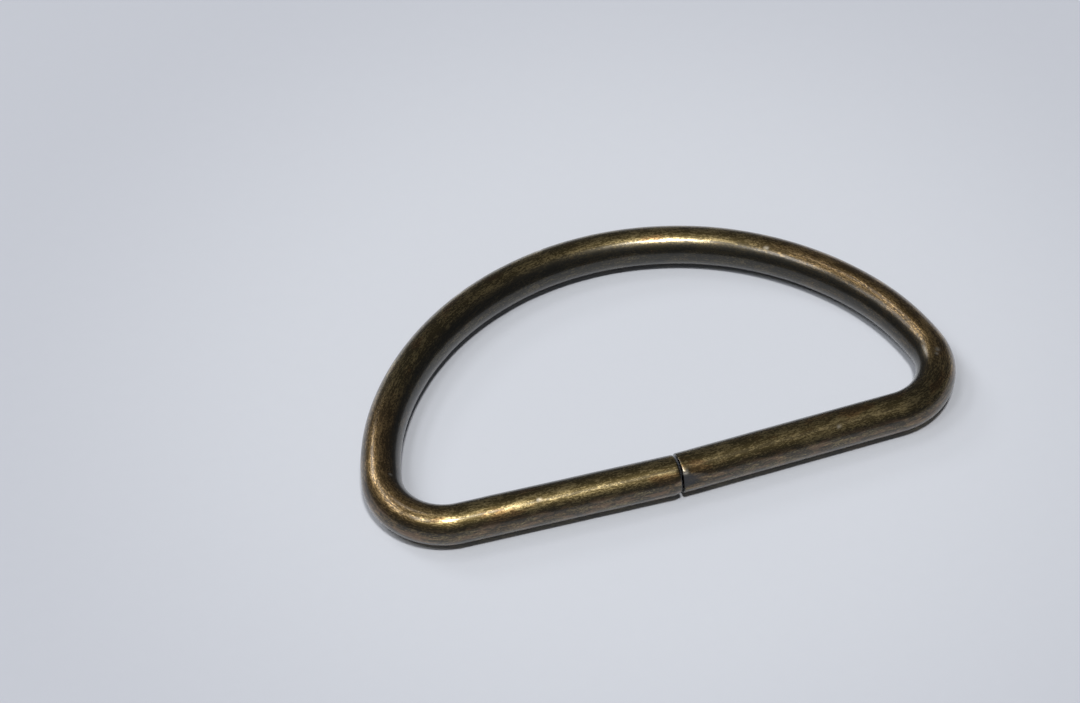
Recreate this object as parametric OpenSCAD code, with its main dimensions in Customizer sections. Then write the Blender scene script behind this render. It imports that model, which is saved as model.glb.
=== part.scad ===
// D ring of bent round wire, for a strap or webbing.
// One length of wire makes a straight bar, two tight corner bends, two
// softer flank bends and a flat arched bow. Its two ends meet close to the
// middle of the bar in an open butt joint. The ring lies flat on z = 0, with
// its bar along X on the -Y side and its bow towards +Y.

/* [Opening] */
// Clear width inside the ring, along the bar
inside_w = 40; // [30:0.5:50]
// Clear height inside the ring, from the middle of the bar to the bow
inside_h = 20; // [17.5:0.5:24]

/* [Wire] */
// Diameter of the round wire
wire_d = 3; // [2:0.1:4]

/* [Bends] */
// Radius on the inner side of each corner bend
corner_inside_r = 3.15; // [2:0.05:4.5]
// Angle that each corner bend turns, in degrees
corner_turn = 98.5; // [92:0.5:104]
// Angle that each flank bend turns, in degrees
flank_turn = 22; // [18:0.5:28]
// Angle that each half of the bar leans back from its middle, in degrees
bar_lean = 1.6; // [0:0.1:3]

/* [Butt joint] */
// How far the joint is from the middle of the bar, towards -X
joint_shift = 0.55; // [0:0.05:1.5]
// Gap between the two cut ends
joint_gap = 0.16; // [0.06:0.02:0.6]
// Width of the broken edge round each cut end
end_chamfer = 0.12; // [0.04:0.02:0.3]
// How far the end on the -X side stands out past the other end
joint_step = 0.06; // [0:0.02:0.3]

/* [Finish] */
// Colour of the antiqued metal
wire_colour = "#6e5830"; // [#6e5830, #4a3b22, #a88a4a]
// Facets round a full circle in the preview
facets = 120; // [48:12:180]

/* [Hidden] */
$fn = facets;

wire_r = wire_d / 2;
// ball inside the wire where two bends meet
core_d = 0.8 * wire_d;
corner_r = corner_inside_r + wire_r;
// half the width of the ring, measured to the wire's centreline
centre_w = inside_w / 2 + wire_r;
// from the bar's centreline at its middle to the bow's centreline
centre_h = inside_h + wire_d;
// the ring's own middle from front to back, with y counted from the bar
middle_y = centre_h / 2;
// how far the lean of the bar takes the joint in from the bar's middle
joint_in = joint_shift * tan(bar_lean);

// The bends are set to a hundredth of a degree.
function hundredth(a) = round(100 * a) / 100;

// headings of the wire, in degrees from +X, where the corner and flank end
flank_heading = hundredth(bar_lean + corner_turn);
bow_heading = hundredth(flank_heading + flank_turn);
// centre of the corner bend
corner_centre = [
    centre_w - corner_r,
    tan(bar_lean) * (centre_w - corner_r) + corner_r / cos(bar_lean)
];
// where the corner bend passes into the flank bend
flank_start = corner_centre + corner_r * [sin(flank_heading), -cos(flank_heading)];
// radius of the flank bend that lets the bow close over the ring's middle
flank_r = (centre_h - flank_start.y - flank_start.x / tan(bow_heading / 2))
    / (cos(flank_heading) - cos(bow_heading)
        + (sin(bow_heading) - sin(flank_heading)) / tan(bow_heading / 2));
flank_centre = flank_start + flank_r * [-sin(flank_heading), cos(flank_heading)];
// radius of the bow, and its centre
bow_r = flank_r + flank_centre.x / sin(bow_heading);
bow_centre = [0, centre_h - bow_r];

// Heading of a bar that runs from a point on to the corner bend.
function bar_heading(p) = hundredth(
    atan2(corner_centre.y - p.y, corner_centre.x - p.x)
        - asin(corner_r / norm(corner_centre - p))
);

// Moves in a coarse and a fine step, so that bends meet without a seam.
module place(v) {
    coarse = [for (c = v) round(c * 100) / 100];
    translate(coarse)
        translate(v - coarse)
            children();
}

// Turns about Z in a coarse and a fine step, for the same reason.
module turn(a) {
    coarse = acos(round(cos(a) * 1e6) / 1e6);
    rotate([0, 0, coarse])
        rotate([0, 0, a - coarse])
            children();
}

// A bend of wire round a centre, from one heading on through an angle.
module bend(centre, r, heading, turn) {
    place(centre)
        rotate_extrude(angle = turn, start = heading - 90)
            place([r, 0])
                circle(d = wire_d);
}

// A ball inside the wire, which ties two lengths together where they meet.
module core(p) {
    place([p.x, p.y, 0])
        sphere(d = core_d);
}

// What is cut from the bar at the joint: half of the gap, and the edge
// round the cut end.
module end_cut() {
    over = 0.4;
    difference() {
        translate([-over, 0, 0])
            rotate([0, 90, 0])
                cylinder(r = wire_r + 2 * over, h = joint_gap / 2 + end_chamfer + 2 * over);
        translate([joint_gap / 2, 0, 0])
            rotate([0, 90, 0])
                cylinder(
                    r1 = wire_r - end_chamfer,
                    r2 = wire_r + 2 * over,
                    h = end_chamfer + 2 * over
                );
    }
}

// The bar, corner bend and flank bend of the +X side. The bar's cut end
// is at the given point.
module side(p) {
    spare = 0.2;
    heading = bar_heading(p);
    bar_end = corner_centre + corner_r * [sin(heading), -cos(heading)];
    difference() {
        place([bar_end.x, bar_end.y, 0])
            turn(heading)
                rotate([0, -90, 0])
                    cylinder(d = wire_d, h = (bar_end.x - p.x) / cos(heading) + spare);
        translate([p.x, p.y, 0])
            end_cut();
    }
    core(bar_end);
    bend(corner_centre, corner_r, heading, flank_heading - heading);
    core(flank_start);
    bend(flank_centre, flank_r, flank_heading, flank_turn);
    core(flank_centre + flank_r * [sin(bow_heading), -cos(bow_heading)]);
}

module wire_ring() {
    color(wire_colour)
        translate([0, -middle_y, wire_r]) {
            side([-joint_shift, -joint_in]);
            mirror([1, 0, 0])
                side([joint_shift, -joint_in - joint_step]);
            bend(bow_centre, bow_r, bow_heading, 2 * (180 - bow_heading));
        }
}

wire_ring();
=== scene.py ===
import math

import bmesh
import bpy
from mathutils import Matrix, Vector, noise


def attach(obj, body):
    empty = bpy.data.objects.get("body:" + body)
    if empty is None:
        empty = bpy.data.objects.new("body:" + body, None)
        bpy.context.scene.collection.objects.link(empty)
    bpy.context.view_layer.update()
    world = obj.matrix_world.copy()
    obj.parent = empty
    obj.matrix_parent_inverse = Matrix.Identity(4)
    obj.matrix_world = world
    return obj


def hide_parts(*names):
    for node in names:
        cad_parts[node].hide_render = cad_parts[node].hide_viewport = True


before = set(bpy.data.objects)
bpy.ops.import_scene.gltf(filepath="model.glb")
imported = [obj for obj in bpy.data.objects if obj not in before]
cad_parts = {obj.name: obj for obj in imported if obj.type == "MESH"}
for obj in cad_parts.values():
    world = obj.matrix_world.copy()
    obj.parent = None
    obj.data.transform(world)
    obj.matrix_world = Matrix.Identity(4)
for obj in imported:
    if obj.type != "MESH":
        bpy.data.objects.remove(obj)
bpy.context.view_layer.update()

# Sizes of the ring, in metres and degrees, as in the part's source
MM = 0.001
INSIDE_W = 40 * MM
INSIDE_H = 20 * MM
WIRE_R = 1.5 * MM
CORNER_INSIDE_R = 3.15 * MM
CORNER_TURN = 98.5
FLANK_TURN = 22.0
BAR_LEAN = 1.6
JOINT_SHIFT = 0.55 * MM
JOINT_GAP = 0.16 * MM
JOINT_STEP = 0.06 * MM
END_CHAMFER = 0.12 * MM

# How finely the wire is divided
AROUND = 96
STEP = 0.18 * MM

# Slight waves in the drawn wire: their height in mm, how quickly they change along
# the wire and round it, and where their noise starts
WAVES = [
    (0.010, 0.35, 0.7, 0),
    (0.004, 1.3, 1.6, 50),
]

# Small marks on the wire. Each has its place along the wire and round it, in mm and
# in degrees from the top towards the outside, then its radius and its depth in mm.
# Places along the wire count from the joint, over the +X side first. A depth below
# zero is a raised burr.
MARKS = [
    (23.8, 5, 0.22, 0.035),
    (23.4, 0, 0.16, 0.030),
    (85.4, -26, 0.16, 0.030),
    (41.0, -22, 0.18, 0.020),
    (98.6, 22, 0.14, 0.020),
    (12.4, 32, 0.16, 0.020),
    (58.9, 40, 0.30, 0.030),
    (66.0, 48, 0.25, 0.030),
    (0.30, 40, 0.20, -0.060),
]
# How much bare metal shows in a dent, where a burr shows nothing else
DENT_SHINE = 0.7

# The flat that the cutter pressed into the end on the +X side: its length in mm, the
# degrees round the wire that it faces, its depth in mm at the end of the wire, and
# the depth from which its finish is fully dull
FLAT_LENGTH = 2.0
FLAT_FACES = 68
FLAT_DEPTH = 0.22
FLAT_DULL_FROM = 0.16

# The pinched lower edge of the end on the -X side: its length and depth in mm, and
# the degrees round the wire over which it comes in and goes out again
PINCH_LENGTH = 0.45
PINCH_DEPTH = 0.10
PINCH_COMES = (55, 80)
PINCH_GOES = (120, 150)

# Steps of a cut end, in widths of its broken edge: how far each goes forward, then
# how far in. The first four round the rim, and the others lie on the flat face.
END_STEPS = [
    (0.30, 0.03), (0.70, 0.22), (0.95, 0.62), (1.0, 1.0),
    (1.0, 3.0), (1.0, 6.0), (1.0, 9.0),
]
# How far in, in the same widths, the cut face is fully dark. The rounded rim is
# painted dark too, as shade that keeps it from showing a highlight.
CUT_AND_RIM_SHADE_FROM = 0.2

# Grain of the finish: how fine it is along the wire and round it, per mm, then its
# detail, its roughness and where its noise starts
STREAKS = (1.0, 9.0, 5.0, 0.60, 3.0)
SPECKS = (5.0, 11.0, 4.0, 0.65, 11.0)
CLOUDS = (0.45, 1.3, 3.0, 0.55, 23.0)
WARMTH = (0.35, 0.8, 3.0, 0.60, 41.0)
FLECKS = (1.1, 3.2, 5.0, 0.62, 57.0)
BLOTCHES = (0.55, 2.2, 4.0, 0.65, 71.0)

# What wears the finish, with the weight of each
WORN_BY = [(STREAKS, 0.40), (SPECKS, 0.60), (CLOUDS, 0.35)]

# Stretches where the finish is redder: their middles along the wire and their
# half lengths, in mm
COPPERY_STRETCHES = [(32.0, 13.0), (84.0, 9.0)]

# Colours of the finish
OLIVE_PATINA = (0.094, 0.069, 0.024)
REDDER_PATINA = (0.116, 0.070, 0.025)
INNER_PATINA = (0.036, 0.033, 0.026)
DARK_BLOTCH = (0.050, 0.041, 0.028)
LIGHT_BLOTCH = (0.150, 0.096, 0.058)
RUBBED_BRASS = (0.93, 0.72, 0.34)
REDDER_BRASS = (0.92, 0.58, 0.24)
PRESSED_METAL = (0.030, 0.034, 0.040)
# Dark cut metal on the cut faces, also painted on their rounded rims as shade that hides the
# rims' highlight
CUT_METAL_AND_RIM_SHADE = (0.035, 0.030, 0.026)
BARE_METAL = (0.88, 0.80, 0.66)

# The sheet under the ring: its colour near and far, the far colour being painted shade
# for the light falling off away from the ring, the distances between which it
# changes, in metres, and its fibre, as fine per metre, with the fibre's strength
PAPER_NEAR = (0.700, 0.728, 0.785)
PAPER_FAR_PAINTED_SHADE = (0.600, 0.624, 0.685)
PAINTED_SHADE_REACH = (0.018, 0.055)
PAPER_FIBRE = (900.0, 900.0, 3.0, 0.5, 7.0)
PAPER_FIBRE_STRENGTH = 0.12
PAPER_SIZE = 6.0

# Soft lights, all at one distance in metres: azimuth and elevation in degrees, width
# and height in metres, brightness and colour
LIGHT_DISTANCE = 1.5
LIGHTS = {
    "key_light": (-6, 74.5, 0.25, 0.12, 126, (1.0, 0.99, 0.98)),
    "upper_window": (-68, 63, 0.45, 0.45, 5.6, (0.98, 0.99, 1.0)),
    "high_window": (-162, 64, 0.40, 0.34, 2.0, (1.0, 0.99, 1.0)),
    "left_window": (-120, 52, 1.30, 0.34, 2.5, (0.97, 0.98, 1.0)),
    "back_window": (-147, 33, 0.44, 0.36, 4.6, (0.97, 0.98, 1.0)),
}
ROOM_COLOUR = (0.92, 0.95, 1.0)
ROOM_BRIGHTNESS = 0.09

# Camera: where it looks, from where, and how it is tilted, with its lens in mm
CAMERA_AIM = Vector((-6.229, 4.351, 0.0)) * MM
CAMERA_AZIMUTH = -15.9275
CAMERA_ELEVATION = 48.4147
CAMERA_ROLL = -1.6692
CAMERA_DISTANCE = 242.758 * MM
CAMERA_LENS = 105.575
CAMERA_SENSOR = 36


# Angles

def hundredth(angle):
    """Headings are set to a hundredth of a degree, as in the part's source."""
    return round(100 * angle) / 100


def sind(angle):
    return math.sin(math.radians(angle))


def cosd(angle):
    return math.cos(math.radians(angle))


def tand(angle):
    return math.tan(math.radians(angle))


def direction(azimuth, elevation):
    """The way to a place in the room: azimuth 0 is towards -Y, 90 towards +X."""
    a, e = math.radians(azimuth), math.radians(elevation)
    return Vector((math.sin(a) * math.cos(e), -math.cos(a) * math.cos(e), math.sin(e)))


# The wire's path, with y counted from the middle of the bar

CORNER_R = CORNER_INSIDE_R + WIRE_R
CENTRE_W = INSIDE_W / 2 + WIRE_R
CENTRE_H = INSIDE_H + 2 * WIRE_R
FLANK_HEADING = hundredth(BAR_LEAN + CORNER_TURN)
BOW_HEADING = hundredth(FLANK_HEADING + FLANK_TURN)
BOW_TURN = 2 * (180 - BOW_HEADING)
CORNER_X = CENTRE_W - CORNER_R
CORNER_Y = tand(BAR_LEAN) * CORNER_X + CORNER_R / cosd(BAR_LEAN)
FLANK_X = CORNER_X + CORNER_R * sind(FLANK_HEADING)
FLANK_Y = CORNER_Y - CORNER_R * cosd(FLANK_HEADING)
FLANK_R = (CENTRE_H - FLANK_Y - FLANK_X / tand(BOW_HEADING / 2)) / (
    cosd(FLANK_HEADING) - cosd(BOW_HEADING)
    + (sind(BOW_HEADING) - sind(FLANK_HEADING)) / tand(BOW_HEADING / 2))
BOW_R = FLANK_R + (FLANK_X - FLANK_R * sind(FLANK_HEADING)) / sind(BOW_HEADING)

# How far the lean of the bar takes the joint in from the bar's middle
JOINT_IN = JOINT_SHIFT * tand(BAR_LEAN)
# How far from the joint's middle the full thickness of the wire starts
END_TRIM = JOINT_GAP / 2 + END_CHAMFER


def bar_heading(x, y):
    """Heading of a bar that runs from a point on to the corner bend."""
    reach = math.hypot(CORNER_X - x, CORNER_Y - y)
    way = math.atan2(CORNER_Y - y, CORNER_X - x)
    return hundredth(math.degrees(way - math.asin(CORNER_R / reach)))


def bar_length(x, heading):
    """Length of a bar from the start of its rounded rim to the corner bend."""
    return (CORNER_X + CORNER_R * sind(heading) - x - END_TRIM) / cosd(heading)


# The middle of each end, with the -X end as if mirrored onto the +X side
RIGHT_END = (-JOINT_SHIFT, -JOINT_IN)
LEFT_END = (JOINT_SHIFT, -JOINT_IN - JOINT_STEP)
RIGHT_HEADING = bar_heading(*RIGHT_END)
LEFT_HEADING = bar_heading(*LEFT_END)

# Each leg of the wire: its length or its radius, and how far it turns
LEGS = [
    ("bar", bar_length(RIGHT_END[0], RIGHT_HEADING), 0),
    ("corner", CORNER_R, FLANK_HEADING - RIGHT_HEADING),
    ("flank", FLANK_R, FLANK_TURN),
    ("bow", BOW_R, BOW_TURN),
    ("flank", FLANK_R, FLANK_TURN),
    ("corner", CORNER_R, FLANK_HEADING - LEFT_HEADING),
    ("bar", bar_length(LEFT_END[0], LEFT_HEADING), 0),
]


# The wire's mesh

def mark_section(bm, verts, here, heading, along):
    """Writes on a section where it would be on a straight wire, in mm, and its way out."""
    straight = bm.verts.layers.float_vector["straight_wire"]
    away = bm.verts.layers.float_vector["away"]
    out = Vector((sind(heading), -cosd(heading), 0))
    for vert in verts:
        arm = vert.co - here
        vert[straight] = Vector((along, arm.dot(out), arm.z)) / MM
        vert[away] = arm.normalized()


def first_section(bm):
    """The wire's first round section, just past the rim of the end on the +X side."""
    here = Vector((RIGHT_END[0] + END_TRIM,
                   RIGHT_END[1] + END_TRIM * tand(RIGHT_HEADING) - CENTRE_H / 2,
                   WIRE_R))
    turned = (Matrix.Rotation(math.radians(RIGHT_HEADING), 4, "Z")
              @ Matrix.Rotation(math.pi / 2, 4, "Y"))
    made = bmesh.ops.create_circle(bm, segments=AROUND, radius=WIRE_R,
                                   matrix=Matrix.Translation(here) @ turned)
    mark_section(bm, made["verts"], here, RIGHT_HEADING, END_TRIM)
    return here, bm.edges[:]


def draw_leg(bm, leg, edges, here, heading, along):
    """Draws the section on through a leg, and returns what the next leg starts from."""
    kind, size, turn = leg
    straight = kind == "bar"
    length = size if straight else size * math.radians(turn)
    steps = math.ceil(length / STEP)
    ahead = Vector((cosd(heading), sind(heading), 0))
    centre = here + size * Vector((-ahead.y, ahead.x, 0))
    move = ahead * length / steps if straight else Vector()
    made = len(bm.verts)
    last = bmesh.ops.spin(bm, geom=edges, cent=centre, axis=(0, 0, 1), dvec=move,
                          angle=math.radians(turn), steps=steps, use_merge=False,
                          use_normal_flip=False, use_duplicate=False)["geom_last"]
    bm.verts.ensure_lookup_table()
    for step in range(steps):
        along += length / steps
        heading += turn / steps
        if straight:
            here = here + move
        else:
            here = centre + size * Vector((sind(heading), -cosd(heading), 0))
        section = bm.verts[made + step * AROUND:made + (step + 1) * AROUND]
        mark_section(bm, section, here, heading, along)
    edges = [g for g in last if isinstance(g, bmesh.types.BMEdge)]
    return edges, here, heading, along


def smooth_step(low, high, value):
    """Goes smoothly from 0 at the low value to 1 at the high one."""
    share = min(1.0, max(0.0, (value - low) / (high - low)))
    return share * share * (3 - 2 * share)


def wear(bm, length):
    """Gives the wire its waves, its marks, the flat on one end and the pinch on the other."""
    straight = bm.verts.layers.float_vector["straight_wire"]
    away = bm.verts.layers.float_vector["away"]
    bare = bm.verts.layers.float["bare_metal"]
    pressed = bm.verts.layers.float["pressed_flat"]
    radius = WIRE_R / MM
    for vert in bm.verts:
        along, outward, upward = vert[straight]
        turn = math.degrees(math.atan2(outward, upward))
        rise = 0.0
        for height, lengthways, crossways, start in WAVES:
            rise += height * noise.noise(Vector((
                lengthways * along + start, crossways * outward, crossways * upward)))
        for mark_along, mark_turn, mark_radius, depth in MARKS:
            gone = math.hypot(along - mark_along, math.radians(turn - mark_turn) * radius)
            if gone < 2 * mark_radius:
                share = math.exp(-2 * (gone / mark_radius) ** 2)
                rise -= depth * share
                vert[bare] = max(vert[bare], share if depth < 0 else DENT_SHINE * share)
        # The flat lies on one side of the wire, so only what faces it is pressed
        facing = cosd(turn - FLAT_FACES)
        if along < FLAT_LENGTH and facing > 0.3:
            flat = radius - FLAT_DEPTH * (1 - along / FLAT_LENGTH)
            sunk = max(0.0, radius - flat / facing)
            rise -= sunk
            vert[pressed] = smooth_step(0.0, FLAT_DULL_FROM, sunk)
        past = smooth_step(length - PINCH_LENGTH, length, along)
        pinched = smooth_step(*PINCH_COMES, turn) * (1 - smooth_step(*PINCH_GOES, turn))
        rise -= PINCH_DEPTH * past * past * pinched
        vert.co += vert[away] * rise * MM


def close_end(bm, edges, centre, side):
    """Rounds the rim of a cut end and closes its face. Side is +1 on the +X end."""
    straight = bm.verts.layers.float_vector["straight_wire"]
    cut = bm.verts.layers.float["cut_face_and_rim_shade"]
    for vert in {v for e in edges for v in e.verts}:
        vert.co.x = centre.x + side * END_TRIM
    last_inward = 0.0
    for forward, inward in END_STEPS:
        grown = bmesh.ops.extrude_edge_only(bm, edges=edges)["geom"]
        verts = [g for g in grown if isinstance(g, bmesh.types.BMVert)]
        edges = [g for g in grown if isinstance(g, bmesh.types.BMEdge)]
        for vert in verts:
            arm = vert.co - centre
            arm.x = 0
            arm -= arm.normalized() * (inward - last_inward) * END_CHAMFER
            vert.co = centre + arm
            vert.co.x = centre.x + side * (JOINT_GAP / 2 + END_CHAMFER * (1 - forward))
            past = side * (forward + max(0, inward - 1)) * END_CHAMFER
            vert[straight] = Vector((vert[straight].x - past / MM, -arm.y / MM, arm.z / MM))
            # Painted shade: the rim is dark almost from its outer edge, so it shows no
            # highlight, and the face is dark cut metal
            vert[cut] = min(1.0, inward / CUT_AND_RIM_SHADE_FROM)
        last_inward = inward
    bmesh.ops.edgeloop_fill(bm, edges=edges)


def lay_uv(bm, length):
    """A map that runs along the wire in U and round it in V, with its seam underneath."""
    straight = bm.verts.layers.float_vector["straight_wire"]
    uv = bm.loops.layers.uv.new("wire_uv")
    for face in bm.faces:
        turns = [math.atan2(c.vert[straight].y, c.vert[straight].z) / math.tau + 0.5
                 for c in face.loops]
        split = max(turns) - min(turns) > 0.5
        for corner, turn in zip(face.loops, turns):
            if split and turn < 0.5:
                turn += 1
            corner[uv].uv = (corner.vert[straight].x / length, turn)


def bend_wire():
    """The whole ring: one section, drawn along the bars and spun round the bends."""
    bm = bmesh.new()
    for name in ("straight_wire", "away"):
        bm.verts.layers.float_vector.new(name)
    for name in ("cut_face_and_rim_shade", "bare_metal", "pressed_flat"):
        bm.verts.layers.float.new(name)
    here, first = first_section(bm)
    edges, heading, along = first, RIGHT_HEADING, END_TRIM
    for leg in LEGS:
        edges, here, heading, along = draw_leg(bm, leg, edges, here, heading, along)
    wear(bm, along / MM)
    for side, end, out in ((1, first, 0), (-1, edges, JOINT_STEP)):
        centre = Vector((-JOINT_SHIFT, -CENTRE_H / 2 - JOINT_IN - out, WIRE_R))
        close_end(bm, end, centre, side)
    bmesh.ops.recalc_face_normals(bm, faces=bm.faces)
    lay_uv(bm, along / MM)
    bm.verts.layers.float_vector.remove(bm.verts.layers.float_vector["away"])
    mesh = bpy.data.meshes.new("ring")
    bm.to_mesh(mesh)
    bm.free()
    for face in mesh.polygons:
        face.use_smooth = True
    ring = bpy.data.objects.new("ring", mesh)
    bpy.context.scene.collection.objects.link(ring)
    return ring


# Materials

def add(tree, kind, **values):
    """A node with its settings, and with its inputs by name after in_."""
    node = tree.nodes.new(kind)
    for name, value in values.items():
        if name.startswith("in_"):
            node.inputs[name[3:].replace("_", " ")].default_value = value
        else:
            setattr(node, name, value)
    return node


def attribute(tree, name, output):
    """What the mesh carries under a name."""
    return add(tree, "ShaderNodeAttribute", attribute_name=name).outputs[output]


def grain(tree, place, pattern):
    """Noise of a pattern, with its own fineness along the wire and round it."""
    lengthways, crossways, detail, roughness, start = pattern
    mapping = add(tree, "ShaderNodeMapping",
                  in_Scale=(lengthways, crossways, crossways),
                  in_Location=(start, start * 0.7, start * 1.3))
    tree.links.new(place, mapping.inputs["Vector"])
    texture = add(tree, "ShaderNodeTexNoise",
                  in_Scale=1.0, in_Detail=detail, in_Roughness=roughness)
    tree.links.new(mapping.outputs["Vector"], texture.inputs["Vector"])
    return texture.outputs["Fac"]


def math_node(tree, operation, *values):
    """One sum on numbers or on what other nodes give."""
    node = add(tree, "ShaderNodeMath", operation=operation)
    for socket, value in zip(node.inputs, values):
        if isinstance(value, (int, float)):
            socket.default_value = value
        else:
            tree.links.new(value, socket)
    return node.outputs[0]


def ramp(tree, value, low, high, to_low=0.0, to_high=1.0):
    """Carries low to high of a value smoothly to the two given numbers."""
    node = add(tree, "ShaderNodeMapRange", interpolation_type="SMOOTHSTEP",
               in_From_Min=low, in_From_Max=high, in_To_Min=to_low, in_To_Max=to_high)
    tree.links.new(value, node.inputs["Value"])
    return node.outputs["Result"]


def mix_colour(tree, share, a, b):
    """Goes from colour a to colour b with the share. Each is a colour or a node's."""
    node = add(tree, "ShaderNodeMix", data_type="RGBA")
    tree.links.new(share, node.inputs["Factor"])
    for name, value in (("A", a), ("B", b)):
        socket = [s for s in node.inputs if s.name == name and s.type == "RGBA"][0]
        if isinstance(value, tuple):
            socket.default_value = value + (1.0,)
        else:
            tree.links.new(value, socket)
    return [s for s in node.outputs if s.type == "RGBA"][0]


def new_material(name):
    """A material with its node tree and its shader."""
    material = bpy.data.materials.new(name)
    material.use_nodes = True
    return material, material.node_tree, material.node_tree.nodes["Principled BSDF"]


def worn_finish(tree, place):
    """How far the finish is worn: long streaks, short specks and wide clouds."""
    worn = None
    for pattern, weight in WORN_BY:
        part = math_node(tree, "MULTIPLY", grain(tree, place, pattern), weight)
        worn = part if worn is None else math_node(tree, "ADD", worn, part)
    return worn


def handled_faces(tree, outward, upward):
    """The faces that lie up and down are handled most, the inner side least."""
    level = math_node(tree, "ABSOLUTE", upward)
    return math_node(tree, "MULTIPLY", ramp(tree, outward, -1.1, -0.3),
                     ramp(tree, level, 0.7, 1.3, 0.30, 1.0))


def redder_finish(tree, place, along):
    """Where the finish is redder: in wide clouds, and on the coppery stretches."""
    coppery = ramp(tree, grain(tree, place, WARMTH), 0.53, 0.66)
    for middle, reach in COPPERY_STRETCHES:
        away = math_node(tree, "ABSOLUTE", math_node(tree, "SUBTRACT", along, middle))
        stretch = ramp(tree, away, 0.4 * reach, reach, 0.8, 0.0)
        coppery = math_node(tree, "MAXIMUM", coppery, stretch)
    return coppery


def antique_brass():
    """Dark patina rubbed back to brass along the wire, under a clear lacquer."""
    material, tree, shader = new_material("antique_brass")
    place = attribute(tree, "straight_wire", "Vector")
    parts = add(tree, "ShaderNodeSeparateXYZ")
    tree.links.new(place, parts.inputs["Vector"])
    along, outward, upward = (parts.outputs[name] for name in "XYZ")
    worn = worn_finish(tree, place)
    handled = handled_faces(tree, outward, upward)
    coppery = redder_finish(tree, place, along)

    # The patina is dullest on the inner side, and blotched on the outer side
    dark = mix_colour(tree, coppery, OLIVE_PATINA, REDDER_PATINA)
    dark = mix_colour(tree, handled, INNER_PATINA, dark)
    blotches = ramp(tree, grain(tree, place, BLOTCHES), 0.47, 0.60)
    outer = mix_colour(tree, blotches, DARK_BLOTCH, LIGHT_BLOTCH)
    dark = mix_colour(tree, ramp(tree, outward, 1.05, 1.42), dark, outer)

    # Brass shows where the patina is rubbed off, and in larger flecks
    brass = mix_colour(tree, coppery, RUBBED_BRASS, REDDER_BRASS)
    flecks = ramp(tree, grain(tree, place, FLECKS), 0.57, 0.70)
    rubbed = math_node(tree, "MAXIMUM", ramp(tree, worn, 0.635, 0.87),
                       math_node(tree, "MULTIPLY", flecks, 0.62))
    share = math_node(tree, "MULTIPLY", rubbed, ramp(tree, handled, 0, 1, 0.10, 0.72))
    colour = mix_colour(tree, share, dark, brass)

    # The flat is dull and bluish, the cut ends are dark, with painted shade on their rims
    # that hides the rims' highlight, and marks show bare metal
    pressed = ramp(tree, attribute(tree, "pressed_flat", "Fac"), 0, 1, 0.0, 0.85)
    colour = mix_colour(tree, pressed, colour, PRESSED_METAL)
    colour = mix_colour(tree, attribute(tree, "cut_face_and_rim_shade", "Fac"), colour, CUT_METAL_AND_RIM_SHADE)
    colour = mix_colour(tree, attribute(tree, "bare_metal", "Fac"), colour, BARE_METAL)
    tree.links.new(colour, shader.inputs["Base Color"])

    # Rubbed metal is a little smoother, and the wear can be felt
    tree.links.new(ramp(tree, rubbed, 0, 1, 0.33, 0.25), shader.inputs["Roughness"])
    bump = add(tree, "ShaderNodeBump", in_Strength=0.45, in_Distance=0.008 * MM)
    tree.links.new(worn, bump.inputs["Height"])
    tree.links.new(bump.outputs["Normal"], shader.inputs["Normal"])

    # The wire is brushed along its length, so its gloss spreads one way
    tangent = add(tree, "ShaderNodeTangent", direction_type="UV_MAP", uv_map="wire_uv")
    tree.links.new(tangent.outputs["Tangent"], shader.inputs["Tangent"])
    shader.inputs["Anisotropic"].default_value = 0.6
    shader.inputs["Anisotropic Rotation"].default_value = 0.25
    shader.inputs["Metallic"].default_value = 1.0
    shader.inputs["Coat Weight"].default_value = 0.8
    shader.inputs["Coat Roughness"].default_value = 0.19
    return material


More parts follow.
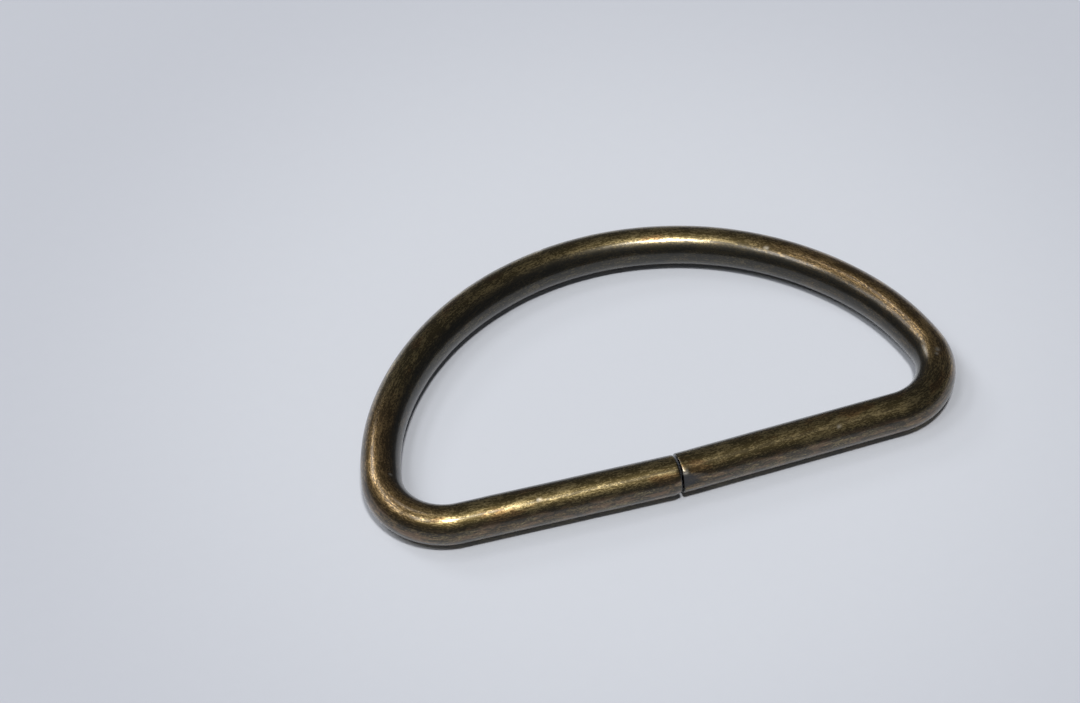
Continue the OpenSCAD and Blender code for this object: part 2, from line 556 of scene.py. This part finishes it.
def pale_paper():
    """The matt pale sheet that the ring lies on, with painted shade that makes it greyer away
    from the ring, where the light falls off.
    """
    material, tree, shader = new_material("pale_paper")
    place = add(tree, "ShaderNodeTexCoord").outputs["Object"]
    reach = add(tree, "ShaderNodeVectorMath", operation="LENGTH")
    tree.links.new(place, reach.inputs[0])
    fibre = math_node(tree, "SUBTRACT", grain(tree, place, PAPER_FIBRE), 0.5)
    # Painted shade: the sheet's colour darkens away from the ring for the light falling off
    # there, and the fibre is the paper's own
    painted_shade_and_fibre = math_node(tree, "ADD", ramp(tree, reach.outputs["Value"], *PAINTED_SHADE_REACH),
                     math_node(tree, "MULTIPLY", fibre, PAPER_FIBRE_STRENGTH))
    tree.links.new(mix_colour(tree, painted_shade_and_fibre, PAPER_NEAR, PAPER_FAR_PAINTED_SHADE), shader.inputs["Base Color"])
    shader.inputs["Roughness"].default_value = 0.75
    shader.inputs["Specular IOR Level"].default_value = 0.3
    return material


# The ring
ring = bend_wire()
ring.data.materials.append(antique_brass())
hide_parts("wire_ring")
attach(ring, "root")

# The floor
bpy.ops.mesh.primitive_plane_add(size=PAPER_SIZE, location=(0, 0, 0))
floor = bpy.context.object
floor.name = "floor"
floor.data.materials.append(pale_paper())


# Lights

def soft_light(name, azimuth, elevation, width, height, brightness, colour):
    """An oval soft light that faces the ring."""
    data = bpy.data.lights.new(name, "AREA")
    data.shape = "ELLIPSE"
    data.size, data.size_y = width, height
    # An oval lamp needs this power to look as bright as is asked
    data.energy = math.pi * width * height * brightness
    data.color = colour
    light = bpy.data.objects.new(name, data)
    way = direction(azimuth, elevation)
    light.location = way * LIGHT_DISTANCE
    light.rotation_euler = way.to_track_quat("Z", "Y").to_euler()
    bpy.context.scene.collection.objects.link(light)


for name, values in LIGHTS.items():
    soft_light(name, *values)

world = bpy.context.scene.world or bpy.data.worlds.new("room")
bpy.context.scene.world = world
world.use_nodes = True
room = world.node_tree.nodes["Background"]
room.inputs["Color"].default_value = ROOM_COLOUR + (1.0,)
room.inputs["Strength"].default_value = ROOM_BRIGHTNESS
bpy.context.scene.view_settings.view_transform = "Standard"

# The camera
lens = bpy.data.cameras.new("camera")
lens.lens = CAMERA_LENS
lens.sensor_width = CAMERA_SENSOR
lens.sensor_fit = "HORIZONTAL"
lens.clip_start = 0.01
lens.clip_end = 20
camera = bpy.data.objects.new("camera", lens)
back = direction(CAMERA_AZIMUTH, CAMERA_ELEVATION)
right = Vector((cosd(CAMERA_AZIMUTH), sind(CAMERA_AZIMUTH), 0))
up = back.cross(right)
across = right * cosd(CAMERA_ROLL) + up * sind(CAMERA_ROLL)
upward = up * cosd(CAMERA_ROLL) - right * sind(CAMERA_ROLL)
turned = Matrix((across, upward, back)).transposed().to_4x4()
camera.matrix_world = Matrix.Translation(CAMERA_AIM + back * CAMERA_DISTANCE) @ turned
bpy.context.scene.collection.objects.link(camera)
bpy.context.scene.camera = camera
